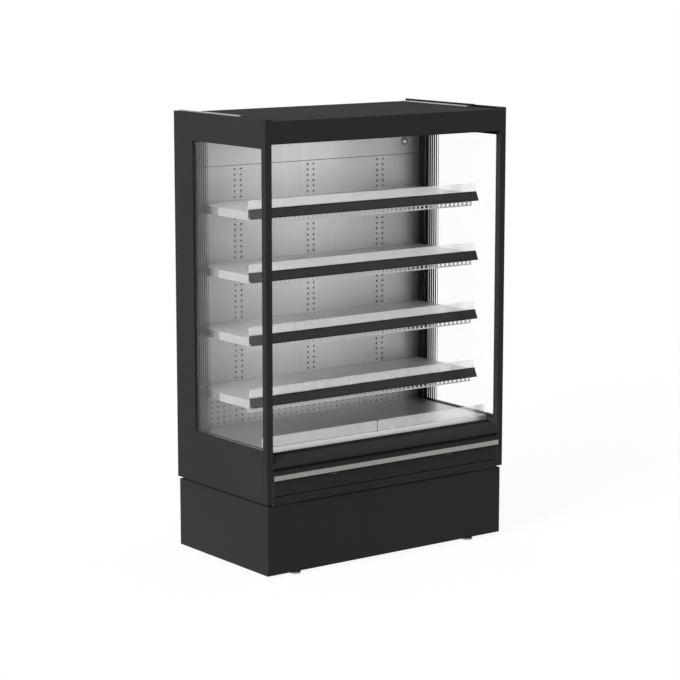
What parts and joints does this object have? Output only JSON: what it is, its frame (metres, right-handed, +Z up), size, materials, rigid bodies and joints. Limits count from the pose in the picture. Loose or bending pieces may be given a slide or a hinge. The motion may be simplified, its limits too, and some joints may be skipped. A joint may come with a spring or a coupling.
{
  "type": "heated multideck display cabinet",
  "caption": "Tall open-fronted heated display cabinet with glazed sides, heated shelves over a deck, a canopy, a drop-front service panel and a plinth on levelling feet.",
  "frame": {"origin": "on the floor, under the middle of the cabinet's bounding box", "axes": "+Z up, -Y towards the open front, +X to the customer's right when facing the front"},
  "size_m": [1.33, 0.73, 2],
  "materials": {
    "anthracite_paint": "fine matt powder coat, anthracite grey",
    "stainless_wall": "fine upright brushing",
    "stainless_deck": "fine brushing from side to side",
    "stainless_strip": "satin brushing along the strip",
    "light_steel": "pale grey smooth coat",
    "galvanised": "plain zinc-coated sheet",
    "ticket_plastic": "matt dark grey extrusion",
    "cap_plastic": "matt black",
    "control_plastic": "satin black",
    "lock_metal": "dark nickel",
    "fan_metal": "plain aluminium",
    "heater_metal": "heat-darkened steel",
    "clear_glass": "clear toughened glass with a dark printed rear edge",
    "gasket_rubber": "matt black",
    "spacer_rubber": "matt black",
    "lamp_diffuser": "opal, unlit",
    "foot_steel": "bright zinc plate"
  },
  "bodies": {
    "cabinet": {"side_panel_left": "anthracite_paint", "side_panel_right": "anthracite_paint", "front_post_left": "anthracite_paint", "front_post_right": "anthracite_paint", "side_glass_left": "clear_glass", "side_glass_right": "clear_glass", "glass_gaskets": "gasket_rubber", "side_cheeks": "anthracite_paint", "roof_panel": "anthracite_paint", "canopy_fascia": "anthracite_paint", "soffit_panel": "light_steel", "lamp_profile": "light_steel", "lamp_diffuser": "lamp_diffuser", "roof_rails": "light_steel", "rail_end_caps": "cap_plastic", "rear_casing": "galvanised", "back_wall_upper": "stainless_wall", "back_wall_lower": "stainless_wall", "sensor_port": "stainless_wall", "slotted_uprights": "galvanised", "base_tub": "galvanised", "fan_motors": "fan_metal", "heater_coils": "heater_metal", "front_nose": "anthracite_paint", "bumper_carrier": "anthracite_paint", "bumper_strip": "stainless_strip", "lower_band": "anthracite_paint", "control_box": "galvanised", "plinth_cover": "anthracite_paint", "plinth_rear": "anthracite_paint", "plinth_frame": "anthracite_paint", "wall_spacers": "spacer_rubber", "supply_gland": "cap_plastic", "rear_screws": "foot_steel"},
    "shelf_1": {"shelf_tray_1": "light_steel", "shelf_pan_1": "light_steel"},
    "ticket_1": {"ticket_strip_1": "ticket_plastic"},
    "shelf_2": {"shelf_tray_2": "light_steel", "shelf_pan_2": "light_steel"},
    "ticket_2": {"ticket_strip_2": "ticket_plastic"},
    "shelf_3": {"shelf_tray_3": "light_steel", "shelf_pan_3": "light_steel"},
    "ticket_3": {"ticket_strip_3": "ticket_plastic"},
    "shelf_4": {"shelf_tray_4": "light_steel", "shelf_pan_4": "light_steel"},
    "ticket_4": {"ticket_strip_4": "ticket_plastic"},
    "deck_left": {"deck_plate_left": "stainless_deck"},
    "deck_right": {"deck_plate_right": "stainless_deck"},
    "service_door": {"service_panel": "anthracite_paint"},
    "lock_left": {"key_lock_left": "lock_metal"},
    "lock_right": {"key_lock_right": "lock_metal"},
    "knob": {"thermostat_knob": "control_plastic"},
    "switch": {"main_switch": "control_plastic"},
    "fan_left": {"fan_rotor_left": "fan_metal"},
    "fan_right": {"fan_rotor_right": "fan_metal"},
    "foot_front_left": {"foot_front_left": "foot_steel"},
    "foot_front_right": {"foot_front_right": "foot_steel"},
    "foot_rear_left": {"foot_rear_left": "foot_steel"},
    "foot_rear_right": {"foot_rear_right": "foot_steel"}
  },
  "joints": [
    {"name": "shelf_1_lift", "type": "slide", "parent": "cabinet", "child": "shelf_1", "axis": [0, 0, 1], "range_m": [0, 0.004]},
    {"name": "ticket_1_flip", "type": "hinge", "parent": "shelf_1", "child": "ticket_1", "pos_m": [0, -0.184, 0.7725], "axis": [-1, 0, 0], "range_deg": [0, 60]},
    {"name": "shelf_2_lift", "type": "slide", "parent": "cabinet", "child": "shelf_2", "axis": [0, 0, 1], "range_m": [0, 0.004]},
    {"name": "ticket_2_flip", "type": "hinge", "parent": "shelf_2", "child": "ticket_2", "pos_m": [0, -0.184, 1.0475], "axis": [-1, 0, 0], "range_deg": [0, 60]},
    {"name": "shelf_3_lift", "type": "slide", "parent": "cabinet", "child": "shelf_3", "axis": [0, 0, 1], "range_m": [0, 0.004]},
    {"name": "ticket_3_flip", "type": "hinge", "parent": "shelf_3", "child": "ticket_3", "pos_m": [0, -0.184, 1.3225], "axis": [-1, 0, 0], "range_deg": [0, 60]},
    {"name": "shelf_4_lift", "type": "slide", "parent": "cabinet", "child": "shelf_4", "axis": [0, 0, 1], "range_m": [0, 0.004]},
    {"name": "ticket_4_flip", "type": "hinge", "parent": "shelf_4", "child": "ticket_4", "pos_m": [0, -0.184, 1.5975], "axis": [-1, 0, 0], "range_deg": [0, 60]},
    {"name": "deck_left_lift", "type": "slide", "parent": "cabinet", "child": "deck_left", "axis": [0, 0, 1], "range_m": [0, 0.1]},
    {"name": "deck_right_lift", "type": "slide", "parent": "cabinet", "child": "deck_right", "axis": [0, 0, 1], "range_m": [0, 0.1]},
    {"name": "service_door_drop", "type": "hinge", "parent": "cabinet", "child": "service_door", "pos_m": [0, -0.349, 0.373], "axis": [1, 0, 0], "range_deg": [0, 90]},
    {"name": "lock_left_turn", "type": "hinge", "parent": "service_door", "child": "lock_left", "pos_m": [-0.326, -0.355, 0.429], "axis": [0, -1, 0], "range_deg": [0, 90]},
    {"name": "lock_right_turn", "type": "hinge", "parent": "service_door", "child": "lock_right", "pos_m": [0.326, -0.355, 0.429], "axis": [0, -1, 0], "range_deg": [0, 90]},
    {"name": "knob_turn", "type": "hinge", "parent": "cabinet", "child": "knob", "pos_m": [0.24, -0.32, 0.39], "axis": [0, 1, 0], "range_deg": [-135, 135]},
    {"name": "switch_rock", "type": "hinge", "parent": "cabinet", "child": "switch", "pos_m": [0.36, -0.314, 0.39], "axis": [-1, 0, 0], "range_deg": [0, 18]},
    {"name": "fan_left_spin", "type": "hinge", "parent": "cabinet", "child": "fan_left", "pos_m": [-0.3, 0.153, 0.4475], "axis": [0, 1, 0], "continuous": true},
    {"name": "fan_right_spin", "type": "hinge", "parent": "cabinet", "child": "fan_right", "pos_m": [0.3, 0.153, 0.4475], "axis": [0, 1, 0], "continuous": true},
    {"name": "foot_front_left_height", "type": "slide", "parent": "cabinet", "child": "foot_front_left", "axis": [0, 0, 1], "range_m": [-0.015, 0.008]},
    {"name": "foot_front_right_height", "type": "slide", "parent": "cabinet", "child": "foot_front_right", "axis": [0, 0, 1], "range_m": [-0.015, 0.008]},
    {"name": "foot_rear_left_height", "type": "slide", "parent": "cabinet", "child": "foot_rear_left", "axis": [0, 0, 1], "range_m": [-0.015, 0.008]},
    {"name": "foot_rear_right_height", "type": "slide", "parent": "cabinet", "child": "foot_rear_right", "axis": [0, 0, 1], "range_m": [-0.015, 0.008]}
  ]
}
